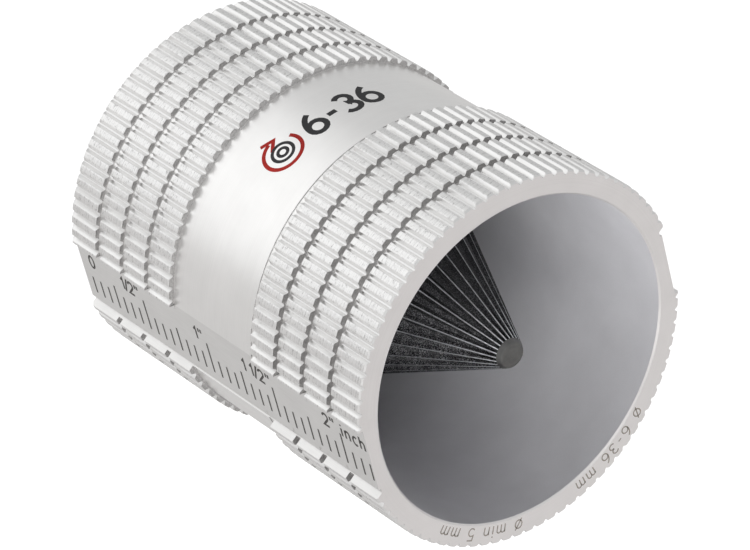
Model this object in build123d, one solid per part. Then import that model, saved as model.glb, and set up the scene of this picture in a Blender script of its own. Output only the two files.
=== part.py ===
from build123d import *
import os
from math import cos, radians, sin, tan

# Pipe deburring tool: a knurled aluminium sleeve that holds a star of 24 radial blades.
# The blades' front edges form a cone that reams the inside of a pipe end, and their rear edges
# form a funnel that trims the outside of a pipe pushed in from the back. Millimetres throughout.
#
# Each piece is drawn standing, with the tool's axis on Z and the rear face at Z = 0, and is then
# laid down: in the finished part the axis lies on Y, the mouth faces -Y, and the origin is on the
# axis at mid-length. Angles about the axis run from +X, towards +Z in the finished part.

# Sleeve
LENGTH = 56.0
RIDGE_TIP_R = 22.8
RIDGE_VALLEY_R = 22.28
RIDGES = 88                     # in a full turn, the ones cut away at the flats included
RIDGE_PHASE = 3.85              # direction of the first ridge's middle
RIDGE_TOP = 2.06                # angle that a ridge's turned top takes up
RIDGE_FLANK = 0.72              # angle that each flank takes up
FLAT_DISTANCE = 21.7            # from the axis
FLAT_WIDTH = 9.1                # width of the shallow slot that leaves the flat
FLAT_CHANNEL = (0.6, 0.3)       # width and depth of the fine channel along one side of the flat
FLAT_ANGLE = 15.0               # direction of the second flat; the ruler flat is opposite
BORE_R = 19.93
BAND = (20.1, 35.05)            # smooth band between the two knurls
BAND_R = 22.06
GROOVE_WIDTH = 0.8
REAR_GROOVES = (5.6, 10.55, 15.5)
REAR_GROOVE_R = 22.2
FRONT_KNURL = 35.95             # where the front ridges start, after a relief groove
FRONT_GROOVES = (40.6, 45.6, 50.6)
FRONT_GROOVE_R = 21.96
END_CHAMFER = 0.4               # both edges of the rear face
MOUTH_CHAMFER = 0.2             # both edges of the mouth face
SHOULDER = 16.5                 # step that the cutter seats against
COUNTERBORE_R = 20.4

# Blades
BLADE_COUNT = 24
BLADE_PHASE = 13.3
CONE_HALF_ANGLE = 24.7
TIP_R = 1.62
TIP_Z = 54.3
BLADE_THICKNESS = 0.8
BLADE_WIDTH = 5.3               # from the front edge to the rear edge
BLADE_LAND = 0.12
BLADE_BEVEL = 0.5
BLADE_TAPER = 4.0               # half-angle of the keystone near the axis
BLADE_R = (1.45, 19.6)
BLADE_Z = (5.0, 53.7)

# Carrier, clamp pieces and fits
EDGE_HEIGHT = 0.38              # how far the blade edges stand above the carrier
FIT = 0.02
HUB_BORE_R = 0.8
HUB_END_Z = 41.9
RING_Z = (2.6, 4.98)
RING_BORE_R = 18.6
RING_LEAD_IN = 0.5
SPANNER_SLOT = (2.4, 1.0)       # width and depth
COLLAR_R = 2.0
COLLAR_Z = 38.9
COLLAR_GAP = 0.03
RIVET_TAIL_R = 1.4
RIVET_TAIL = 0.7
RIVET_EDGE = 0.12
PIN_R = 0.7
PIN_Z = (6.0, 14.0)

SLOPE = tan(radians(CONE_HALF_ANGLE))
BLADE_PITCH = 360 / BLADE_COUNT
RIDGE_PITCH = 360 / RIDGES
CUTTER_R = COUNTERBORE_R - FIT
PIN_CIRCLE_R = COUNTERBORE_R - FIT / 2
PIN_ANGLES = [BLADE_PHASE + BLADE_PITCH * n for n in (6.5, 18.5)]
REACH = 30.0                    # longer or wider than any piece's section, for cutting solids
LAID_DOWN = Location((0, LENGTH / 2, 0), (90, 0, 0))


def polar(radius, angle):
    """Point in the plane across the axis."""
    return (radius * cos(radians(angle)), radius * sin(radians(angle)))


def cone_radius(z, inset=0.0):
    """Radius of the blades' front edges at a height, less an inset square to the cone."""
    return TIP_R + (TIP_Z - z) * SLOPE - inset / cos(radians(CONE_HALF_ANGLE))


def cone_height(radius, inset=0.0):
    """Height at which the cone, less the inset, has this radius."""
    outer = radius + inset / cos(radians(CONE_HALF_ANGLE))
    return TIP_Z - (outer - TIP_R) / SLOPE


def turned(points):
    """Solid of revolution from (radius, height) points."""
    outline = Polyline([(r, 0, z) for r, z in points], close=True)
    return revolve(make_face(outline), Axis.Z)


# ---- sleeve -------------------------------------------------------------------------------------

def knurl_outline():
    """Closed outline of the ridges, seen along the axis: turned tops, straight flanks, narrow floors."""
    half_top = RIDGE_TOP / 2
    half_foot = half_top + RIDGE_FLANK
    edges = []
    for n in range(RIDGES):
        angle = RIDGE_PHASE + n * RIDGE_PITCH
        foot = polar(RIDGE_VALLEY_R, angle - half_foot)
        top = [polar(RIDGE_TIP_R, angle + turn) for turn in (-half_top, 0, half_top)]
        far_foot = polar(RIDGE_VALLEY_R, angle + half_foot)
        next_foot = polar(RIDGE_VALLEY_R, angle + RIDGE_PITCH - half_foot)
        edges += [Line(foot, top[0]), ThreePointArc(*top), Line(top[2], far_foot), Line(far_foot, next_foot)]
    return Wire(edges)


def flat_cutters():
    """The two milled slots, one on each side, each with its channel."""
    depth = REACH - FLAT_DISTANCE
    tool = Pos(FLAT_DISTANCE + depth / 2, 0, LENGTH / 2) * Box(depth, FLAT_WIDTH, LENGTH)
    width, drop = FLAT_CHANNEL
    tool += Pos(FLAT_DISTANCE, (FLAT_WIDTH - width) / 2, LENGTH / 2) * Box(2 * drop, width, LENGTH)
    return [Rot(0, 0, angle) * tool for angle in (FLAT_ANGLE, FLAT_ANGLE + 180)]


def ring_cutter(z_range, radius):
    """Tool that turns the outside down to a radius over a length."""
    height = z_range[1] - z_range[0]
    tool = Cylinder(REACH, height) - Cylinder(radius, height)
    return Pos(0, 0, sum(z_range) / 2) * tool


def chamfer_envelope():
    """Bar with chamfered ends that trims the ridge ends, less at the mouth than at the rear."""
    wide = RIDGE_TIP_R + END_CHAMFER
    return turned([
        (0, 0), (RIDGE_TIP_R - END_CHAMFER, 0), (wide, 2 * END_CHAMFER),
        (wide, LENGTH - END_CHAMFER - MOUTH_CHAMFER), (RIDGE_TIP_R - MOUTH_CHAMFER, LENGTH), (0, LENGTH)])


def sleeve_bore():
    """The hollow: rear counterbore, shoulder, bore and mouth chamfer."""
    return turned([
        (0, 0), (COUNTERBORE_R + END_CHAMFER, 0), (COUNTERBORE_R, END_CHAMFER),
        (COUNTERBORE_R, SHOULDER), (BORE_R, SHOULDER), (BORE_R, LENGTH - MOUTH_CHAMFER),
        (BORE_R + MOUTH_CHAMFER, LENGTH), (0, LENGTH)])


def key_pins(extra=0.0):
    """Two dowels on the joint circle between the sleeve and the cutter."""
    height = PIN_Z[1] - PIN_Z[0] + 2 * extra
    pins = []
    for angle in PIN_ANGLES:
        x, y = polar(PIN_CIRCLE_R, angle)
        pins.append(Pos(x, y, sum(PIN_Z) / 2) * Cylinder(PIN_R + extra, height))
    return pins


def body_sleeve():
    half = GROOVE_WIDTH / 2
    cuts = [ring_cutter((z - half, z + half), REAR_GROOVE_R) for z in REAR_GROOVES]
    cuts += [ring_cutter((z - half, z + half), FRONT_GROOVE_R) for z in FRONT_GROOVES]
    cuts += [ring_cutter(BAND, BAND_R), ring_cutter((BAND[1], FRONT_KNURL), FRONT_GROOVE_R)]
    cuts += flat_cutters() + key_pins(FIT) + [sleeve_bore()]
    body = extrude(make_face(knurl_outline()), LENGTH) & chamfer_envelope()
    for cut in cuts:
        body -= cut
    return body


# ---- cutter -------------------------------------------------------------------------------------

def strip(section):
    """A section drawn across a blade (depth behind the front edge, thickness), run along it."""
    slant = radians(CONE_HALF_ANGLE)
    inward = (-cos(slant), 0, -sin(slant))
    outward = (sin(slant), 0, -cos(slant))
    plane = Plane(origin=(TIP_R, 0, TIP_Z), x_dir=inward, z_dir=outward)
    length = LENGTH
    face = make_face(Polyline(section, close=True))
    return extrude(plane * face, length, both=True)


def keystone(extra=0.0):
    """Wedge that narrows a blade towards the axis."""
    slant = radians(BLADE_TAPER)
    apex = -extra / sin(slant)
    half = (REACH - apex) * tan(slant)
    face = make_face(Polyline([(apex, 0), (REACH, -half), (REACH, half)], close=True))
    return extrude(face, LENGTH)


def blade_blank():
    """One blade in the XZ plane: ground to a narrow land on both long edges."""
    t = BLADE_THICKNESS / 2
    land = BLADE_LAND / 2
    far = BLADE_WIDTH
    section = [(0, -land), (BLADE_BEVEL, -t), (far - BLADE_BEVEL, -t), (far, -land),
               (far, land), (far - BLADE_BEVEL, t), (BLADE_BEVEL, t), (0, land)]
    ends = Box(BLADE_R[1] - BLADE_R[0], REACH, BLADE_Z[1] - BLADE_Z[0])
    ends = Pos(sum(BLADE_R) / 2, 0, sum(BLADE_Z) / 2) * ends
    return strip(section) & ends & keystone()


def blade_slot():
    """The gap in the carrier that one blade slides into from the rear."""
    t = BLADE_THICKNESS / 2 + FIT
    section = [(-BLADE_WIDTH, -t), (2 * BLADE_WIDTH, -t), (2 * BLADE_WIDTH, t), (-BLADE_WIDTH, t)]
    ends = Box(BLADE_R[1] - BLADE_R[0] + 2 * FIT, REACH, LENGTH)
    ends = Pos(sum(BLADE_R) / 2, 0, LENGTH / 2) * ends
    return strip(section) & ends & keystone(FIT)


def blade_carrier():
    """Slotted conical spider: rim against the shoulder, webs between blades, tubular hub."""
    rim_z = BLADE_Z[0]
    rear_inset = BLADE_WIDTH - EDGE_HEIGHT
    hub_r = BLADE_R[0]
    body = turned([
        (HUB_BORE_R, BLADE_Z[1]), (cone_radius(BLADE_Z[1], EDGE_HEIGHT), BLADE_Z[1]),
        (cone_radius(SHOULDER, EDGE_HEIGHT), SHOULDER), (CUTTER_R, SHOULDER), (CUTTER_R, rim_z),
        (cone_radius(rim_z, rear_inset), rim_z), (hub_r, cone_height(hub_r, rear_inset)),
        (hub_r, HUB_END_Z), (HUB_BORE_R, HUB_END_Z)])
    slot = blade_slot()
    for n in range(BLADE_COUNT):
        body -= Rot(0, 0, BLADE_PHASE + n * BLADE_PITCH) * slot
    for pin in key_pins(FIT):
        body -= pin
    return body


def retaining_ring():
    """Screwed ring behind the cutter, with a lead-in for the pipe and four spanner slots."""
    low, high = RING_Z
    body = turned([
        (RING_BORE_R + RING_LEAD_IN, low), (CUTTER_R, low), (CUTTER_R, high), (RING_BORE_R, high),
        (RING_BORE_R, low + RING_LEAD_IN)])
    width, depth = SPANNER_SLOT
    for n in range(4):
        slot = Pos(COUNTERBORE_R, 0, low + depth / 2) * Box(2 * COUNTERBORE_R, width, depth)
        body -= Rot(0, 0, FLAT_ANGLE + 90 * n) * slot
    return body


def hub_collar():
    """Coned collar that closes the funnel's apex and bears on the blades' inner ends."""
    end_z = HUB_END_Z - FIT
    inset = BLADE_WIDTH + COLLAR_GAP
    return turned([
        (HUB_BORE_R, COLLAR_Z), (COLLAR_R, COLLAR_Z), (COLLAR_R, cone_height(COLLAR_R, inset)),
        (cone_radius(end_z, inset), end_z), (HUB_BORE_R, end_z)])


def nose_rivet():
    """Rivet on the axis: its flat head is the tip of the cone, its tail holds the collar."""
    shank_r = HUB_BORE_R - FIT
    base_z = BLADE_Z[1] + FIT / 2
    tail_z = COLLAR_Z - FIT / 2
    return turned([
        (0, TIP_Z), (TIP_R - RIVET_EDGE, TIP_Z), (TIP_R, TIP_Z - RIVET_EDGE),
        (cone_radius(base_z), base_z), (shank_r, base_z), (shank_r, tail_z), (RIVET_TAIL_R, tail_z),
        (RIVET_TAIL_R, tail_z - RIVET_TAIL / 2), (RIVET_TAIL_R / 2, tail_z - RIVET_TAIL),
        (0, tail_z - RIVET_TAIL)])


# ---- write --------------------------------------------------------------------------------------

def save(name, shape):
    """Lay one piece down in the finished part's frame and write it."""
    laid = [LAID_DOWN * solid for solid in shape.solids()]
    export_step(laid[0] if len(laid) == 1 else Compound(laid), f"parts/{name}.step")


def main():
    os.makedirs("parts", exist_ok=True)
    save("body_sleeve", body_sleeve())
    save("blade_carrier", blade_carrier())
    blank = blade_blank()
    for n in range(BLADE_COUNT):
        save(f"blade_{n + 1:02d}", Rot(0, 0, BLADE_PHASE + n * BLADE_PITCH) * blank)
    save("retaining_ring", retaining_ring())
    save("hub_collar", hub_collar())
    save("nose_rivet", nose_rivet())
    save("key_pins", Compound(key_pins()))


main()
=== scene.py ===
from math import asin, atan2, ceil, copysign, cos, degrees, hypot, pi, radians, sin, sqrt, tan

import bmesh
import bpy
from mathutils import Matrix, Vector


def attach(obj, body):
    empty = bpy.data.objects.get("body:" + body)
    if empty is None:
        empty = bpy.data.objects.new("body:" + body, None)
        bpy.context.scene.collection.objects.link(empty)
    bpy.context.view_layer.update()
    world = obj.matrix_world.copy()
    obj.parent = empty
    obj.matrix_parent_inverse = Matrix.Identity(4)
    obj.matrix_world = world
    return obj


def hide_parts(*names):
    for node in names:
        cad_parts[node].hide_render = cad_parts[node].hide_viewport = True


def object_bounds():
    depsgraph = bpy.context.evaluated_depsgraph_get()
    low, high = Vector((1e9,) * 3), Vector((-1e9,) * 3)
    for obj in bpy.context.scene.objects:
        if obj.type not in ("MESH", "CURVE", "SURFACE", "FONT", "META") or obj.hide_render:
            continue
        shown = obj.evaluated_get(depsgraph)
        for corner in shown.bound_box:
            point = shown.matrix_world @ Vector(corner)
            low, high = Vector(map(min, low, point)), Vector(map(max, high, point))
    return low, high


# The looks of a pipe deburring tool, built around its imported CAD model.
# Tool coordinates are millimetres: an angle about the axis from +X towards +Z, a radius, and a
# depth that runs from the rear face (0) to the mouth. The axis lies on Y and the mouth faces -Y.

MM = 0.001
SAME_POINT = 2e-7           # in metres
BODY = "root"

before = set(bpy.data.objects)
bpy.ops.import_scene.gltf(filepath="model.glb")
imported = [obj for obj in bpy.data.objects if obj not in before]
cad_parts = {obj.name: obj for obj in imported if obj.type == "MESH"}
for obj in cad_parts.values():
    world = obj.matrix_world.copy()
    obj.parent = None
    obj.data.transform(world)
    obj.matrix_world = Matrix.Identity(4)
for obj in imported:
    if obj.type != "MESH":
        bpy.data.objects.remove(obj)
cad_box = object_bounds()
LENGTH = (cad_box[1][1] - cad_box[0][1]) / MM
REAR_Y = cad_box[1][1] / MM
TIP_RADIUS = (cad_box[1][2] - cad_box[0][2]) / 2 / MM
FLOOR_Z = cad_box[0][2]

# Sleeve, the same sizes as the CAD node
RIDGES = 88
RIDGE_PHASE = 3.85
RIDGE_PITCH = 360 / RIDGES
VALLEY_RADIUS = 22.28
RIDGE_TOP = 1.03            # half the turned top, in degrees
RIDGE_FLANK = 0.72
FLAT_DISTANCE = 21.7
FLAT_HALF_WIDTH = 4.55
CHANNEL_START = 3.95        # a fine channel runs along the far side of each flat, from here to its wall
CHANNEL_DEPTH = 0.3
CHANNEL_SLOPE = tan(radians(60))    # of the channel's far wall
RULER_ANGLE = 195.0
FLAT_FAN = (11.52, 13.2, 20.0)      # degrees off a flat: its wall outside, the same inside, no change beyond
BORE_RADIUS = 19.93
COUNTERBORE_RADIUS = 20.4
SHOULDER = 16.5
BAND = (20.1, 35.05)
BAND_RADIUS = 22.06
FRONT_KNURL = 35.95
GROOVE_WIDTH = 0.8
REAR_GROOVES = (5.6, 10.55, 15.5)
REAR_FLOOR = 22.2
FRONT_GROOVES = (40.6, 45.6, 50.6)
FRONT_FLOOR = 21.96
END_CHAMFER = 0.4
MOUTH_CHAMFER = 0.2         # both edges of the mouth face
EDGE_ROUND = 0.05           # on the ends of each ring of ridges
BAND_EDGE = (0.04, 0.03)    # length and drop of the broken edge at the band's front
NO_LIMIT = 99.0             # for rows where nothing is turned off the ridges
CHAMFER_STEPS = 4
FLAT_STEPS = 10
WALL_ROUNDS = 6             # of closing in on where a flat's wall meets the ridges
CLEARANCE = 0.01            # between lines that part two features
SMOOTH_ANGLE = 28           # edges sharper than this, in degrees, stay sharp

# Cutter
CONE_HALF_ANGLE = 24.7
CONE_SLOPE = tan(radians(CONE_HALF_ANGLE))
CONE_TIP = (1.62, 54.3)     # radius and depth
BLADE_RADIAL_WIDTH = 5.3 / cos(radians(CONE_HALF_ANGLE))
GROUND_LINE = 0.02          # how far down from an edge the bright steel reaches

# Marks
INK_DEPTH = 0.03
INK_PROUD = 0.008
SHARPEST_MITRE = 0.5        # cosine, so that a sharp corner's mitre isn't a spike


def place(angle, radius, depth):
    """Point in the row frame, in metres, from tool coordinates."""
    turn = radians(angle)
    return Vector((radius * cos(turn), REAR_Y - depth, radius * sin(turn))) * MM


# ---- materials ----------------------------------------------------------------------------------

RANGE_SOCKETS = ("From Min", "From Max", "To Min", "To Max")


class Shader:
    """A short way to write a procedural material."""

    def __init__(self, name):
        self.material = bpy.data.materials.new(name)
        self.material.use_nodes = True
        self.tree = self.material.node_tree
        self.bsdf = self.tree.nodes["Principled BSDF"]
        self.position = self.node("ShaderNodeTexCoord").outputs["Object"]

    def node(self, kind, **settings):
        made = self.tree.nodes.new(kind)
        for name, value in settings.items():
            setattr(made, name, value)
        return made

    def plug(self, value, socket):
        if isinstance(value, bpy.types.NodeSocket):
            self.tree.links.new(value, socket)
        else:
            socket.default_value = value

    def math(self, operation, *values):
        made = self.node("ShaderNodeMath", operation=operation)
        for value, socket in zip(values, made.inputs):
            self.plug(value, socket)
        return made.outputs[0]

    def sides(self):
        """X, Y and Z of the shaded point, in metres."""
        split = self.node("ShaderNodeSeparateXYZ")
        self.plug(self.position, split.inputs[0])
        return split.outputs

    def tool(self):
        """Angle in turns, radius in mm and depth in mm at the shaded point."""
        x, y, z = self.sides()
        squares = [self.math("MULTIPLY", side, side) for side in (x, z)]
        radius = self.math("SQRT", self.math("ADD", *squares))
        angle = self.math("DIVIDE", self.math("ARCTAN2", z, x), 2 * pi)
        depth = self.math("SUBTRACT", REAR_Y, self.math("DIVIDE", y, MM))
        return angle, self.math("DIVIDE", radius, MM), depth

    def noise(self, axes, scales, detail, roughness):
        """Noise over three values, each with its own fineness."""
        point = self.node("ShaderNodeCombineXYZ")
        for axis, scale, socket in zip(axes, scales, point.inputs):
            self.plug(self.math("MULTIPLY", axis, scale), socket)
        made = self.node("ShaderNodeTexNoise")
        self.plug(point.outputs[0], made.inputs["Vector"])
        made.inputs["Scale"].default_value = 1.0
        made.inputs["Detail"].default_value = detail
        made.inputs["Roughness"].default_value = roughness
        return made.outputs["Fac"]

    def grain(self, across, along, detail, roughness=0.55):
        """Noise with so many spots to a mm across the tool and along it."""
        return self.noise(self.sides(), (across / MM, along / MM, across / MM), detail, roughness)

    def rings(self, around, outwards, along, detail=4.0, roughness=0.55):
        """Noise with so many spots to a turn round the tool, to a mm outwards and to a mm along it."""
        return self.noise(self.tool(), (around, outwards, along), detail, roughness)

    def spread(self, value, low, high, to_low, to_high):
        made = self.node("ShaderNodeMapRange")
        self.plug(value, made.inputs["Value"])
        for name, number in zip(RANGE_SOCKETS, (low, high, to_low, to_high)):
            made.inputs[name].default_value = number
        return made.outputs["Result"]

    def vary(self, noise, low, high):
        """Noise rescaled so that nearly all of it falls between two values."""
        return self.spread(noise, 0.3, 0.7, low, high)

    def blend(self, factor, first, second):
        made = self.node("ShaderNodeMix", data_type="RGBA")
        self.plug(factor, made.inputs["Factor"])
        for name, value in (("A", first), ("B", second)):
            socket = [s for s in made.inputs if s.name == name and s.type == "RGBA"][0]
            self.plug((*value, 1.0) if isinstance(value, tuple) else value, socket)
        return [s for s in made.outputs if s.type == "RGBA"][0]

    def grey(self, value, tint=(1.0, 1.0, 1.0)):
        made = self.node("ShaderNodeCombineColor")
        for share, socket in zip(tint, made.inputs):
            self.plug(self.math("MULTIPLY", value, share), socket)
        return made.outputs[0]

    def bump(self, height, distance, normal=None):
        made = self.node("ShaderNodeBump")
        made.inputs["Distance"].default_value = distance * MM
        made.inputs["Strength"].default_value = 1.0
        self.plug(height, made.inputs["Height"])
        if normal is not None:
            self.plug(normal, made.inputs["Normal"])
        return made.outputs["Normal"]

    def finish(self, color, metallic, roughness, normal):
        self.plug(color, self.bsdf.inputs["Base Color"])
        self.plug(metallic, self.bsdf.inputs["Metallic"])
        self.plug(roughness, self.bsdf.inputs["Roughness"])
        self.plug(normal, self.bsdf.inputs["Normal"])
        return self.material


def tool_marks(s, direction):
    """Fine lines along the tool when drawn, and round it when turned on its side or faced on its end."""
    if direction == "drawn":
        return s.grain(14.0, 0.35, 4.0)
    return s.rings(3.0, 1.0, 16.0) if direction == "turned" else s.rings(3.0, 22.0, 1.0)


def aluminium(name, tone, roughness, direction, relief, tint=(1.0, 0.995, 0.985)):
    """Satin aluminium."""
    s = Shader(name)
    lines = tool_marks(s, direction)
    cloud = s.grain(0.25, 0.25, 3.0)
    grain = s.grain(9.0, 9.0, 2.0)
    value = s.math("ADD", tone, s.vary(lines, -0.03, 0.03))
    value = s.math("ADD", value, s.vary(cloud, -0.02, 0.02))
    rough = s.math("ADD", roughness, s.vary(grain, -0.04, 0.04))
    normal = s.bump(lines, relief)
    normal = s.bump(grain, relief * 0.6, normal=normal)
    return s.finish(s.grey(value, tint), 1.0, rough, normal)


def bore_aluminium():
    """The bore: bead-blasted matte, so it carries light deep into the mouth."""
    s = Shader("bore_aluminium")
    cloud = s.grain(0.12, 0.12, 3.0)
    grain = s.grain(9.0, 9.0, 3.0)
    turned = s.rings(2.0, 1.0, 9.0)
    value = s.math("ADD", 0.82, s.vary(cloud, -0.04, 0.04))
    value = s.math("ADD", value, s.vary(grain, -0.02, 0.02))
    normal = s.bump(s.math("ADD", grain, s.math("MULTIPLY", turned, 0.5)), 0.004)
    rough = s.vary(grain, 0.5, 0.6)
    return s.finish(s.grey(value, (0.972, 0.968, 1.0)), 0.35, rough, normal)


def shaded_groove_aluminium():
    """Side walls of the turned grooves, torn a little by the tool, with painted shade: a darker tone than
    the rest for the shadow in the grooves.
    """
    s = Shader("shaded_groove_aluminium")
    rings = s.rings(6.0, 12.0, 1.0)
    pits = s.grain(5.0, 5.0, 4.0, 0.7)
    # painted shade: a base tone of 0.60, below the rest of the sleeve, stands for the shadow in the grooves
    value = s.math("ADD", 0.60, s.vary(rings, -0.08, 0.08))
    value = s.math("ADD", value, s.vary(pits, -0.16, 0.12))
    return s.finish(s.grey(value, (1.0, 0.985, 0.98)), 1.0, 0.5, s.bump(rings, 0.006))


def ridge_aluminium():
    """The knurl: speckled turned tops, cleaner flanks and painted shade low in the valleys."""
    s = Shader("knurl_aluminium")
    radius = s.tool()[1]
    turned = s.rings(5.0, 1.0, 7.0, 5.0, 0.7)
    pits = s.grain(2.4, 3.6, 5.0, 0.75)
    fine = s.grain(12.0, 12.0, 2.0)
    drawn = s.grain(18.0, 0.5, 3.0)
    top = s.spread(radius, TIP_RADIUS - 0.06, TIP_RADIUS - 0.01, 0.0, 1.0)
    # painted shade: the colour darkens by up to 0.08 towards the valley floors, where shade falls
    low = s.spread(radius, VALLEY_RADIUS - 0.05, VALLEY_RADIUS + 0.2, 0.08, 0.0)
    value = s.math("ADD", 0.9, s.vary(drawn, -0.03, 0.03))
    value = s.math("SUBTRACT", value, low)
    marks = s.math("MULTIPLY", top, s.spread(turned, 0.45, 0.7, 0.0, 0.16))
    dents = s.math("MULTIPLY", top, s.spread(pits, 0.54, 0.70, 0.0, 0.42))
    value = s.math("SUBTRACT", value, s.math("ADD", marks, dents))
    rough = s.math("ADD", 0.3, s.math("MULTIPLY", top, s.spread(pits, 0.4, 0.7, 0.0, 0.15)))
    height = s.math("ADD", s.math("MULTIPLY", top, turned), s.math("MULTIPLY", drawn, 0.5))
    normal = s.bump(height, 0.006)
    normal = s.bump(fine, 0.003, normal=normal)
    return s.finish(s.grey(value, (1.0, 0.997, 0.99)), 1.0, rough, normal)


def granular_black(s):
    """Black oxide over a fine sintered grain, with painted glints: bright specks in the colour, strongest
    towards -X and low down, where the light falls: colour, relief, roughness.
    """
    grain = s.grain(7.0, 7.0, 4.0, 0.7)
    fine = s.grain(16.0, 16.0, 2.0)
    patch = s.grain(0.7, 0.7, 3.0)
    x, _, z = s.sides()
    # painted highlight: near-white glints are painted into the colour towards -X and low Z, the side the
    # light falls on
    painted_glint_side = s.spread(x, -14 * MM, -2 * MM, 1.0, 0.45)
    painted_glint_reach = s.math("MULTIPLY", painted_glint_side, s.spread(z, -3 * MM, 6 * MM, 1.0, 0.2))
    glint = s.math("MULTIPLY", s.spread(grain, 0.48, 0.62, 0.0, 1.0), s.spread(patch, 0.3, 0.6, 0.4, 1.0))
    color = s.blend(s.math("MULTIPLY", glint, painted_glint_reach), (0.024, 0.024, 0.026), (0.95, 0.95, 0.97))
    return color, s.math("ADD", grain, s.math("MULTIPLY", fine, 0.5)), s.vary(fine, 0.3, 0.55)


def black_carrier():
    """The carrier: the same black all over, with the painted glints of its lit side."""
    s = Shader("black_carrier")
    color, height, rough = granular_black(s)
    return s.finish(color, 0.6, rough, s.bump(height, 0.09))


def blade_steel():
    """The blades: the carrier's black on their sides, and a thin ground line along both edges."""
    s = Shader("blade_steel")
    _, radius, depth = s.tool()
    tip_radius, tip_depth = CONE_TIP
    rise = s.math("MULTIPLY", s.math("SUBTRACT", tip_depth, depth), CONE_SLOPE)
    below = s.math("SUBTRACT", s.math("ADD", tip_radius, rise), radius)
    front = s.spread(below, 0.0, GROUND_LINE, 1.0, 0.0)
    rear = s.spread(s.math("SUBTRACT", BLADE_RADIAL_WIDTH, below), 0.0, GROUND_LINE, 1.0, 0.0)
    edge = s.math("MAXIMUM", front, rear)
    wear = s.grain(1.6, 1.6, 4.0, 0.7)
    edge = s.math("MULTIPLY", edge, s.spread(wear, 0.3, 0.6, 0.45, 1.0))
    # The ground line is bright steel; its painted highlight makes it brighter towards the tip, where the
    # light falls
    shine = s.spread(radius, 2.0, 4.5, 1.0, 0.55)
    black, height, rough = granular_black(s)
    color = s.blend(edge, black, s.grey(shine, (0.95, 0.975, 1.0)))
    return s.finish(color, 0.75, rough, s.bump(height, 0.05))


def turned_steel(name, tone, roughness):
    """Small lathe-turned steel pieces: fine rings and a little staining."""
    s = Shader(name)
    rings = s.rings(2.0, 14.0, 14.0)
    stain = s.grain(0.8, 0.8, 4.0)
    value = s.math("MULTIPLY", tone, s.vary(stain, 0.82, 1.12))
    value = s.math("MULTIPLY", value, s.vary(rings, 0.9, 1.08))
    rough = s.math("ADD", roughness, s.vary(stain, -0.06, 0.06))
    return s.finish(s.grey(value, (1.0, 1.0, 0.98)), 0.95, rough, s.bump(rings, 0.006))


def ink(name, color):
    """Etched or printed marks, with the slight unevenness of ink on metal."""
    s = Shader(name)
    blot = s.grain(5.0, 5.0, 3.0)
    light = tuple(share * 1.5 + 0.01 for share in color)
    mixed = s.blend(s.spread(blot, 0.35, 0.75, 0.0, 0.8), color, light)
    return s.finish(mixed, 0.0, s.vary(blot, 0.5, 0.7), s.bump(blot, 0.002))


# ---- mesh helpers -------------------------------------------------------------------------------

def new_object(name, verts, faces, materials, finishes=None):
    """A mesh piece on the tool's body. One with several finishes is also smoothed over its soft edges."""
    mesh = bpy.data.meshes.new(name)
    mesh.from_pydata([tuple(v) for v in verts], [], faces)
    for material in materials:
        mesh.materials.append(material)
    if finishes is not None:
        mesh.polygons.foreach_set("material_index", finishes)
    work = bmesh.new()
    work.from_mesh(mesh)
    bmesh.ops.remove_doubles(work, verts=work.verts, dist=SAME_POINT)
    bmesh.ops.dissolve_degenerate(work, edges=work.edges, dist=SAME_POINT / 2)
    bmesh.ops.recalc_face_normals(work, faces=work.faces)
    work.to_mesh(mesh)
    work.free()
    if finishes is not None:
        mesh.shade_smooth()
        mesh.set_sharp_from_angle(angle=radians(SMOOTH_ANGLE))
    piece = bpy.data.objects.new(name, mesh)
    bpy.context.scene.collection.objects.link(piece)
    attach(piece, BODY)
    return piece


# ---- sleeve -------------------------------------------------------------------------------------

RIDGE_DROP = TIP_RADIUS - VALLEY_RADIUS
RIDGE_FOOT = RIDGE_TOP + RIDGE_FLANK

# Half a ridge, from the middle of its rounded top to the middle of the valley: (degrees, drop)
HALF_RIDGE = (
    (0.0, 0.0), (0.45, 0.0), (RIDGE_TOP - 0.10, 0.0), (RIDGE_TOP, 0.014), (RIDGE_TOP + 0.09, 0.05),
    (RIDGE_FOOT - 0.05, RIDGE_DROP - 0.05), (RIDGE_FOOT + 0.03, RIDGE_DROP - 0.012),
    (RIDGE_FOOT + 0.12, RIDGE_DROP - 0.001), (RIDGE_PITCH / 2, RIDGE_DROP))


def ridge_stations():
    """(angle, ridge radius) round the whole knurl, flats not yet cut."""
    found = []
    for n in range(RIDGES):
        middle = RIDGE_PHASE + n * RIDGE_PITCH
        rising = [(middle - turn, TIP_RADIUS - drop) for turn, drop in reversed(HALF_RIDGE[1:])]
        falling = [(middle + turn, TIP_RADIUS - drop) for turn, drop in HALF_RIDGE[:-1]]
        found += rising + falling
    return found


def off_flat(angle):
    """Angle from the middle of the nearer flat, between -90 and 90."""
    return (angle - RULER_ANGLE + 90) % 180 - 90


class RidgeStation:
    """A line along the tool whose radius follows the ridges, or a turned radius where that is less."""

    def __init__(self, angle, radius):
        self.angle = angle
        self.radius = radius

    def point(self, limit, ease, depth):
        share = (self.radius - VALLEY_RADIUS) / RIDGE_DROP
        return place(self.angle, min(limit, self.radius - ease * share), depth)


class FlatStation:
    """A line along a flat."""

    def __init__(self, middle, across):
        self.middle = middle
        self.across = across
        self.floor = FLAT_DISTANCE
        if across > CHANNEL_START:
            self.floor -= CHANNEL_DEPTH
        self.angle = middle + degrees(asin(across / TIP_RADIUS))

    def point(self, limit, ease, depth):
        height = min(self.floor, sqrt(limit ** 2 - self.across ** 2))
        return place(self.middle + degrees(atan2(self.across, height)), hypot(self.across, height), depth)


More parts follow.
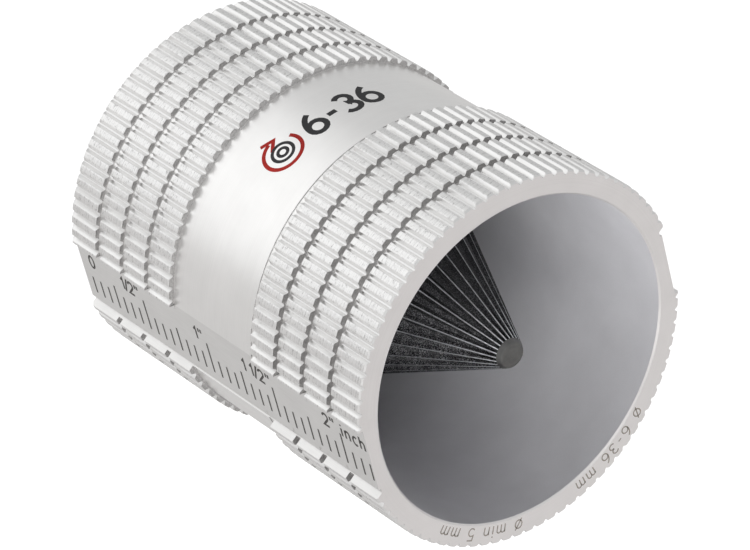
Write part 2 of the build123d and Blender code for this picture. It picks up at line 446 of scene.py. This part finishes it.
class WallStation:
    """The top of a flat's side wall: upright on the near side, leaning outwards on the far side."""

    def __init__(self, middle, side):
        self.middle = middle
        self.side = side
        self.angle = middle + side * degrees(asin(FLAT_HALF_WIDTH / TIP_RADIUS))
        self.radius = TIP_RADIUS
        for _ in range(WALL_ROUNDS):
            across = wall_reach(side, self.radius)
            self.radius = wall_ridge_radius(middle + side * degrees(asin(across / self.radius)))

    def point(self, limit, ease, depth):
        radius = min(limit, self.radius - ease)
        across = wall_reach(self.side, radius)
        return place(self.middle + self.side * degrees(asin(across / radius)), radius, depth)


def wall_reach(side, radius):
    """How far from a flat's middle its wall meets a radius."""
    if side < 0:
        return FLAT_HALF_WIDTH
    height = FLAT_DISTANCE - CHANNEL_DEPTH
    a = 1 + CHANNEL_SLOPE ** 2
    b = FLAT_HALF_WIDTH + CHANNEL_SLOPE * height
    c = FLAT_HALF_WIDTH ** 2 + height ** 2 - radius ** 2
    return FLAT_HALF_WIDTH + (sqrt(b ** 2 - a * c) - b) / a


def wall_ridge_radius(angle):
    """Radius of the ridge profile at any angle."""
    turn = abs((angle - RIDGE_PHASE + RIDGE_PITCH / 2) % RIDGE_PITCH - RIDGE_PITCH / 2)
    for (a, drop_a), (b, drop_b) in zip(HALF_RIDGE, HALF_RIDGE[1:]):
        if turn <= b:
            return TIP_RADIUS - drop_a - (drop_b - drop_a) * (turn - a) / (b - a)
    return VALLEY_RADIUS


def flat_stations(middle):
    """Wall top, wall foot, the flat, its channel, wall foot, wall top."""
    step = (CHANNEL_START + FLAT_HALF_WIDTH) / FLAT_STEPS
    across = [-FLAT_HALF_WIDTH + step * n for n in range(FLAT_STEPS)]
    across += [CHANNEL_START, CHANNEL_START + 2 * CLEARANCE, FLAT_HALF_WIDTH]
    return [WallStation(middle, -1), *(FlatStation(middle, u) for u in across), WallStation(middle, 1)]


def clears_flat(angle, radius):
    """Whether a line on the ridges lies outside both flats."""
    off = off_flat(angle)
    return abs(radius * sin(radians(off))) > wall_reach(copysign(1, off), radius) + CLEARANCE


def all_stations():
    """Every line along the tool in order, with the flats in place of the ridges they cut away."""
    found = [RidgeStation(turn, radius) for turn, radius in ridge_stations() if clears_flat(turn, radius)]
    for middle in (RULER_ANGLE - 180, RULER_ANGLE):
        found += flat_stations(middle)
    found.sort(key=lambda station: station.angle % 360)
    return found


def inner_angle(angle):
    """Angle on the hollow's wall, fanned out near the flats so that no end face folds at their walls."""
    off = off_flat(angle)
    wall, foot, free = FLAT_FAN
    if abs(off) <= wall:
        return angle - off + off * foot / wall
    if abs(off) < free:
        return angle - off + copysign(foot + (abs(off) - wall) * (free - foot) / (free - wall), off)
    return angle


def ring_rows(start, end):
    """Rows over one ring of ridges, with eased ends: (depth, radius limit, ease)."""
    return [(start, NO_LIMIT, EDGE_ROUND), (start + EDGE_ROUND, NO_LIMIT, 0.0),
            (end - EDGE_ROUND, NO_LIMIT, 0.0), (end, NO_LIMIT, EDGE_ROUND)]


def chamfer_rows(size, at_start):
    """Rows up the chamfer at one end of the sleeve."""
    rows = []
    for n in range(CHAMFER_STEPS + 1):
        rise = size * n / CHAMFER_STEPS
        depth = rise if at_start else LENGTH - rise
        rows.append((depth, TIP_RADIUS - size + rise, 0.0))
    return rows if at_start else rows[::-1]


def knurl_rows(start, end, grooves, floor):
    """Rings of ridges from start to end, parted by turned grooves."""
    rows = []
    edge = start
    for centre in grooves:
        low, high = centre - GROOVE_WIDTH / 2, centre + GROOVE_WIDTH / 2
        rows += ring_rows(edge, low) + [(low, floor, 0.0), (high, floor, 0.0)]
        edge = high
    return rows + ring_rows(edge, end)


def outer_rows():
    """The outside, from the rear face to the mouth face."""
    rear = chamfer_rows(END_CHAMFER, True) + knurl_rows(0.0, BAND[0], REAR_GROOVES, REAR_FLOOR)[2:]
    front = knurl_rows(FRONT_KNURL, LENGTH, FRONT_GROOVES, FRONT_FLOOR)[:-2]
    start, end = BAND
    edge, drop = BAND_EDGE
    band = [(start, BAND_RADIUS, 0.0), (end - edge, BAND_RADIUS, 0.0), (end, BAND_RADIUS - drop, 0.0)]
    relief = [(end, FRONT_FLOOR, 0.0), (FRONT_KNURL, FRONT_FLOOR, 0.0)]
    return rear + band + relief + front + chamfer_rows(MOUTH_CHAMFER, False)


def inner_rows():
    """The hollow, from the mouth face back to the rear face: (depth, radius)."""
    mouth = [(LENGTH, BORE_RADIUS + MOUTH_CHAMFER), (LENGTH - MOUTH_CHAMFER, BORE_RADIUS)]
    bore = [(LENGTH - inset, BORE_RADIUS) for inset in (12, 24)] + [(SHOULDER, BORE_RADIUS)]
    counterbore = [(SHOULDER, COUNTERBORE_RADIUS), (END_CHAMFER, COUNTERBORE_RADIUS)]
    return mouth + bore + counterbore + [(0.0, COUNTERBORE_RADIUS + END_CHAMFER)]


KNURL, BAND_SIDE, FACE, HOLLOW, FLAT, GROOVE_WALL = range(6)


def sleeve_finishes():
    """The sleeve's materials, in the order of the names above."""
    return [
        ridge_aluminium(),
        aluminium("band_aluminium", 0.93, 0.34, "turned", 0.0015),
        aluminium("face_aluminium", 0.94, 0.42, "faced", 0.002, tint=(1.0, 0.975, 0.968)),
        bore_aluminium(),
        aluminium("flat_aluminium", 0.83, 0.36, "drawn", 0.002),
        shaded_groove_aluminium()]


def strip_finish(row, after, inside):
    """Which finish the strip between two (depth, radius limit) rows takes."""
    depths = {row[0], after[0]}
    if inside:
        return FACE if depths == {LENGTH, LENGTH - MOUTH_CHAMFER} else HOLLOW
    if len(depths) == 1:
        return FACE if depths <= {0.0, LENGTH} else GROOVE_WALL
    return BAND_SIDE if max(row[1], after[1]) < VALLEY_RADIUS else KNURL


def sleeve_verts(stations, outer, inner):
    """Every row's points in turn, round the outside and then back through the hollow."""
    verts = []
    for depth, limit, ease in outer:
        verts += [station.point(limit, ease, depth) for station in stations]
    for depth, radius in inner:
        verts += [place(inner_angle(station.angle), radius, depth) for station in stations]
    return verts


def make_sleeve():
    """The whole sleeve as one closed skin, with a finish for each strip."""
    stations = all_stations()
    outer, inner = outer_rows(), inner_rows()
    rows = [row[:2] for row in outer] + [(depth, 0.0) for depth, _ in inner]
    on_flat = [isinstance(station, FlatStation) for station in stations]
    count = len(stations)
    faces, finishes = [], []
    for n, row in enumerate(rows):
        after = (n + 1) % len(rows)
        finish = strip_finish(row, rows[after], len(outer) <= n < len(rows) - 1)
        for k in range(count):
            beside = (k + 1) % count
            faces.append((n * count + k, n * count + beside, after * count + beside, after * count + k))
            milled = on_flat[k] or on_flat[beside]
            finishes.append(FLAT if milled and finish not in (FACE, HOLLOW) else finish)
    sleeve = new_object("sleeve", sleeve_verts(stations, outer, inner), faces, sleeve_finishes(), finishes)
    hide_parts("body_sleeve")


# ---- marks --------------------------------------------------------------------------------------

def arc(cx, cy, rx, ry, start, end, steps=10):
    """Points along part of an ellipse; angles in degrees."""
    turns = [radians(start + (end - start) * n / steps) for n in range(steps + 1)]
    return [(cx + rx * cos(t), cy + ry * sin(t)) for t in turns]


# Single-stroke characters, one unit tall: (width, strokes)
GLYPHS = {
    "0": (0.56, [arc(0.28, 0.5, 0.28, 0.5, 90, 450, 20)]),
    "1": (0.26, [[(0.0, 0.72), (0.22, 1.0), (0.22, 0.0)]]),
    "2": (0.56, [arc(0.27, 0.72, 0.27, 0.28, 170, -35) + [(0.0, 0.0), (0.56, 0.0)]]),
    "3": (0.54, [arc(0.25, 0.75, 0.25, 0.25, 150, -90) + arc(0.25, 0.25, 0.28, 0.25, 90, -150)]),
    "5": (0.54, [[(0.5, 1.0), (0.06, 1.0), (0.03, 0.56)] + arc(0.25, 0.32, 0.28, 0.32, 110, -140)]),
    "6": (0.56, [arc(0.28, 0.3, 0.28, 0.3, 90, 450, 16), arc(0.62, 0.3, 0.62, 0.78, 112, 180, 6)]),
    "/": (0.34, [[(0.0, -0.08), (0.34, 1.08)]]),
    '"': (0.44, [[(0.14, 1.04), (0.14, 0.72)], [(0.4, 1.04), (0.4, 0.72)]]),
    "-": (0.34, [[(0.02, 0.45), (0.32, 0.45)]]),
    "i": (0.08, [[(0.04, 0.0), (0.04, 0.66)], [(0.04, 0.86), (0.04, 0.96)]]),
    "n": (0.44, [[(0.0, 0.0), (0.0, 0.68)], arc(0.22, 0.44, 0.22, 0.24, 180, 0) + [(0.44, 0.0)]]),
    "c": (0.42, [arc(0.26, 0.34, 0.26, 0.34, 55, 305)]),
    "h": (0.44, [[(0.0, 0.0), (0.0, 1.0)], arc(0.22, 0.44, 0.22, 0.24, 180, 0) + [(0.44, 0.0)]]),
    "m": (0.72, [[(0.0, 0.0), (0.0, 0.68)], arc(0.18, 0.5, 0.18, 0.18, 180, 0, 6) + [(0.36, 0.0)],
                 arc(0.54, 0.5, 0.18, 0.18, 180, 0, 6) + [(0.72, 0.0)]]),
    "o": (0.62, [arc(0.31, 0.46, 0.31, 0.36, 0, 360, 16), [(0.02, 0.0), (0.6, 0.92)]]),
    " ": (0.26, []),
}


def text_strokes(text, height, gap, start=(0.0, 0.0)):
    """Strokes of a line of text in mm. The gap between letters is a share of the height."""
    x, y = start
    strokes = []
    for letter in text:
        width, lines = GLYPHS[letter]
        strokes += [[(x + px * height, y + py * height) for px, py in line] for line in lines]
        x += (width + gap) * height
    return strokes


def unit(step):
    """A step in the plane, as a complex number, cut to length 1. No step stays nothing."""
    return step / abs(step) if step else step


def stroke_outline(points, width):
    """Left and right sides of a stroke of even width, with mitred corners."""
    line = [complex(*point) for point in points]
    closed = abs(line[0] - line[-1]) < SAME_POINT / MM
    before = line[-2] if closed else 2 * line[0] - line[1]
    after = line[1] if closed else 2 * line[-1] - line[-2]
    line = [before, *line, after]
    sides = []
    for before, here, after in zip(line, line[1:], line[2:]):
        square = 1j * unit(after - here)
        normal = unit(1j * unit(here - before) + square)
        reach = width / 2 / max(SHARPEST_MITRE, (normal * square.conjugate()).real)
        left, right = here + normal * reach, here - normal * reach
        sides.append(((left.real, left.imag), (right.real, right.imag)))
    return sides


def prism(sides, lay, verts, faces):
    """Adds a closed ribbon, laid on a surface, to the lists."""
    first = len(verts)
    for left, right in sides:
        verts += [lay(*side, height) for height in (INK_PROUD, -INK_DEPTH) for side in (left, right)]
    last = first + 4 * (len(sides) - 1)
    for a in range(first, last, 4):
        b = a + 4
        faces += [(a, a + 1, b + 1, b), (a + 2, b + 2, b + 3, a + 3)]
        faces += [(a, b, b + 2, a + 2), (a + 1, a + 3, b + 3, b + 1)]
    faces += [(first, first + 2, first + 3, first + 1), (last, last + 1, last + 3, last + 2)]


def finer(points, step):
    """The same line with no segment longer than a step, so that it follows a round surface."""
    found = [points[0]]
    for (ax, ay), (bx, by) in zip(points, points[1:]):
        count = max(1, ceil(hypot(bx - ax, by - ay) / step))
        found += [(ax + (bx - ax) * n / count, ay + (by - ay) * n / count) for n in range(1, count + 1)]
    return found


def marks(name, strokes, width, lay, material, step=0.6):
    """A piece made of ink strokes of one width."""
    verts, faces = [], []
    for points in strokes:
        prism(stroke_outline(finer(points, step), width), lay, verts, faces)
    new_object(name, verts, faces, [material])


def on_ruler(depth, up, height):
    """Ruler flat: depth along the tool, up towards the numbers."""
    radius = FLAT_DISTANCE + height
    return place(RULER_ANGLE + degrees(atan2(-up, radius)), hypot(radius, up), depth)


def on_band(middle, centre_depth):
    """Band: x runs round the tool towards smaller angles, y towards the rear."""
    def lay(x, y, height):
        return place(middle - degrees(x / BAND_RADIUS), BAND_RADIUS + height, centre_depth - y)
    return lay


def on_mouth(start_angle, base_radius):
    """Mouth face: x runs clockwise as seen from in front, y outwards."""
    def lay(x, y, height):
        return place(start_angle - degrees(x / base_radius), base_radius + y, LENGTH + height)
    return lay


INCH = 25.4
DIVISIONS = 16              # of an inch
TICKS = 35
TICK_FOOT = -2.8            # from the flat's middle
TICK_TOPS = {8: 1.48, 4: 0.55, 1: -0.42}    # by the divisions that a tick closes
RULER_LABELS = (            # text, depth of its start, gap between letters
    ("0", 2.0, 0.1), ('1/2"', 8.6, 0.13), ('1"', 23.3, 0.16),
    ('1 1/2"', 32.7, 0.17), ('2"', 47.9, 0.16), ("inch", 51.2, 0.36))
LABEL_HEIGHT = 1.72
LABEL_FOOT = 1.36


def make_ruler(material):
    ticks = []
    for n in range(1, TICKS + 1):
        closes = next(divisions for divisions in TICK_TOPS if n % divisions == 0)
        depth = n * INCH / DIVISIONS
        ticks.append([(depth, TICK_FOOT), (depth, TICK_TOPS[closes])])
    marks("ruler_ticks", ticks, 0.28, on_ruler, material)
    strokes = []
    for text, depth, gap in RULER_LABELS:
        strokes += text_strokes(text, LABEL_HEIGHT, gap, (depth, LABEL_FOOT))
    marks("ruler_numbers", strokes, 0.3, on_ruler, material)


MOUTH_MARKS = (("size_range_outside", "o 6-36 mm", 325.0), ("size_least_inside", "o min 5 mm", 271.0))
MOUTH_MARK_FOOT = 20.42     # radius that the letters stand on


def make_mouth_marks(material):
    """Sizes of pipe, outside and inside, with their starting angles."""
    for name, text, angle in MOUTH_MARKS:
        strokes = text_strokes(text, 1.5, 0.36)
        marks(name, strokes, 0.15, on_mouth(angle, MOUTH_MARK_FOOT), material, step=0.3)


PICTOGRAM_MIDDLE = (123.5, 27.9)    # angle and depth
FIGURES_START = (113.5, 29.8)       # angle at their left, depth at their foot


def make_band_marks(black, red):
    """The size range in figures, after a pictogram of a pipe end with its turning arrow."""
    picture = on_band(*PICTOGRAM_MIDDLE)
    pipe = [arc(0, 0, radius, radius, 0, 360, steps) for radius, steps in ((1.35, 36), (0.62, 24))]
    marks("pipe_pictogram", pipe, 0.42, picture, black)
    turn = [arc(0, 0, 2.45, 2.45, 95, 390, 40), [(-1.0, 3.15), (0.55, 2.45), (-0.65, 1.25)]]
    marks("turn_pictogram", turn, 0.5, picture, red)
    marks("size_range_figures", text_strokes("6-36", 3.8, 0.2), 0.72, on_band(*FIGURES_START), black)


# ---- CAD nodes that stay ------------------------------------------------------------------------

def dress_nodes():
    """Materials for the cutter and the small pieces; the sleeve has its own mesh."""
    blade = blade_steel()
    plain = turned_steel("plain_steel", 0.42, 0.36)
    special = {"blade_carrier": black_carrier(), "nose_rivet": turned_steel("dark_rivet", 0.16, 0.4)}
    for name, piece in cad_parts.items():
        if name != "body_sleeve":
            usual = blade if name.startswith("blade_") else plain
            piece.data.materials.clear()
            piece.data.materials.append(special.get(name, usual))


# ---- stage --------------------------------------------------------------------------------------

VIEW_FROM = Vector((-0.2875, -0.3814, 0.2573))
VIEW_ALONG = Vector((0.5302, 0.7017, -0.4760))
LENS = 226.1

# Light: where it comes from, the cosines it eases between, and its strength outside and inside.
# Reflections see a soft box behind the tool, on the ruler's side, in a pale grey room.
KEY = (Vector((-0.53, 0.70, 0.477)), (0.60, 1.02), (0.60, 1.10))
# The camera and matte surfaces see light from the front left, which reaches into the mouth.
FILL = (Vector((-0.66, -0.75, -0.02)), (0.84, 1.0), (0.12, 7.0))

FLOOR_HALF = 3.0
FLOOR_WHITE = 0.94
FLOOR_STRENGTHS = (("Is Camera Ray", 1.0), ("Is Diffuse Ray", 1.9))
FLOOR_IN_REFLECTIONS = (0.67, 0.66, 0.655, 1.0)


def make_floor():
    """A white floor that gives light to the camera and to matte surfaces, and looks grey in reflections."""
    s = Shader("floor")
    s.plug(s.grey(FLOOR_WHITE), s.bsdf.inputs["Base Color"])
    s.bsdf.inputs["Roughness"].default_value = 0.9
    s.bsdf.inputs["Specular IOR Level"].default_value = 0.0
    path = s.node("ShaderNodeLightPath")
    lift = s.node("ShaderNodeEmission")
    strengths = [s.math("MULTIPLY", path.outputs[ray], strength) for ray, strength in FLOOR_STRENGTHS]
    s.plug(s.math("ADD", *strengths), lift.inputs["Strength"])
    lifted = s.node("ShaderNodeAddShader")
    s.plug(s.bsdf.outputs[0], lifted.inputs[0])
    s.plug(lift.outputs[0], lifted.inputs[1])
    reflected = s.node("ShaderNodeEmission")
    reflected.inputs["Color"].default_value = FLOOR_IN_REFLECTIONS
    mix = s.node("ShaderNodeMixShader")
    s.plug(path.outputs["Is Glossy Ray"], mix.inputs[0])
    s.plug(lifted.outputs[0], mix.inputs[1])
    s.plug(reflected.outputs[0], mix.inputs[2])
    s.plug(mix.outputs[0], s.tree.nodes["Material Output"].inputs["Surface"])
    mesh = bpy.data.meshes.new("floor")
    corners = [(x * FLOOR_HALF, y * FLOOR_HALF, FLOOR_Z) for x, y in ((-1, -1), (1, -1), (1, 1), (-1, 1))]
    mesh.from_pydata(corners, [], [(0, 1, 2, 3)])
    mesh.materials.append(s.material)
    floor = bpy.data.objects.new("floor", mesh)
    bpy.context.scene.collection.objects.link(floor)


def lobe(tree, towards, cosines, strengths):
    """White light all round that eases from one strength to another towards a direction."""
    direction = tree.nodes.new("ShaderNodeTexCoord").outputs["Generated"]
    dot = tree.nodes.new("ShaderNodeVectorMath")
    dot.operation = "DOT_PRODUCT"
    dot.inputs[1].default_value = towards.normalized()
    tree.links.new(direction, dot.inputs[0])
    ease = tree.nodes.new("ShaderNodeMapRange")
    ease.interpolation_type = "SMOOTHSTEP"
    for name, value in zip(RANGE_SOCKETS, (*cosines, *strengths)):
        ease.inputs[name].default_value = value
    tree.links.new(dot.outputs["Value"], ease.inputs["Value"])
    light = tree.nodes.new("ShaderNodeBackground")
    light.inputs["Color"].default_value = (1.0, 1.0, 1.0, 1.0)
    tree.links.new(ease.outputs["Result"], light.inputs["Strength"])
    return light.outputs[0]


def make_world():
    world = bpy.data.worlds.new("studio")
    bpy.context.scene.world = world
    world.use_nodes = True
    tree = world.node_tree
    tree.nodes.clear()
    path = tree.nodes.new("ShaderNodeLightPath")
    mix = tree.nodes.new("ShaderNodeMixShader")
    tree.links.new(path.outputs["Is Glossy Ray"], mix.inputs[0])
    tree.links.new(lobe(tree, *FILL), mix.inputs[1])
    tree.links.new(lobe(tree, *KEY), mix.inputs[2])
    surface = tree.nodes.new("ShaderNodeOutputWorld").inputs["Surface"]
    tree.links.new(mix.outputs[0], surface)


def make_camera():
    data = bpy.data.cameras.new("camera")
    data.lens = LENS
    data.sensor_width = 36.0
    data.clip_start = 0.01
    data.clip_end = 20.0
    camera = bpy.data.objects.new("camera", data)
    camera.location = VIEW_FROM
    camera.rotation_euler = VIEW_ALONG.to_track_quat("-Z", "Y").to_euler()
    bpy.context.scene.collection.objects.link(camera)
    bpy.context.scene.camera = camera


def main():
    bpy.context.scene.view_settings.view_transform = "Standard"
    make_sleeve()
    engraved = ink("engraved_mark", (0.03, 0.027, 0.025))
    make_ruler(engraved)
    make_mouth_marks(ink("etched_mark", (0.16, 0.14, 0.12)))
    make_band_marks(ink("black_print", (0.018, 0.018, 0.02)), ink("red_print", (0.55, 0.02, 0.012)))
    dress_nodes()
    make_floor()
    make_world()
    make_camera()


main()
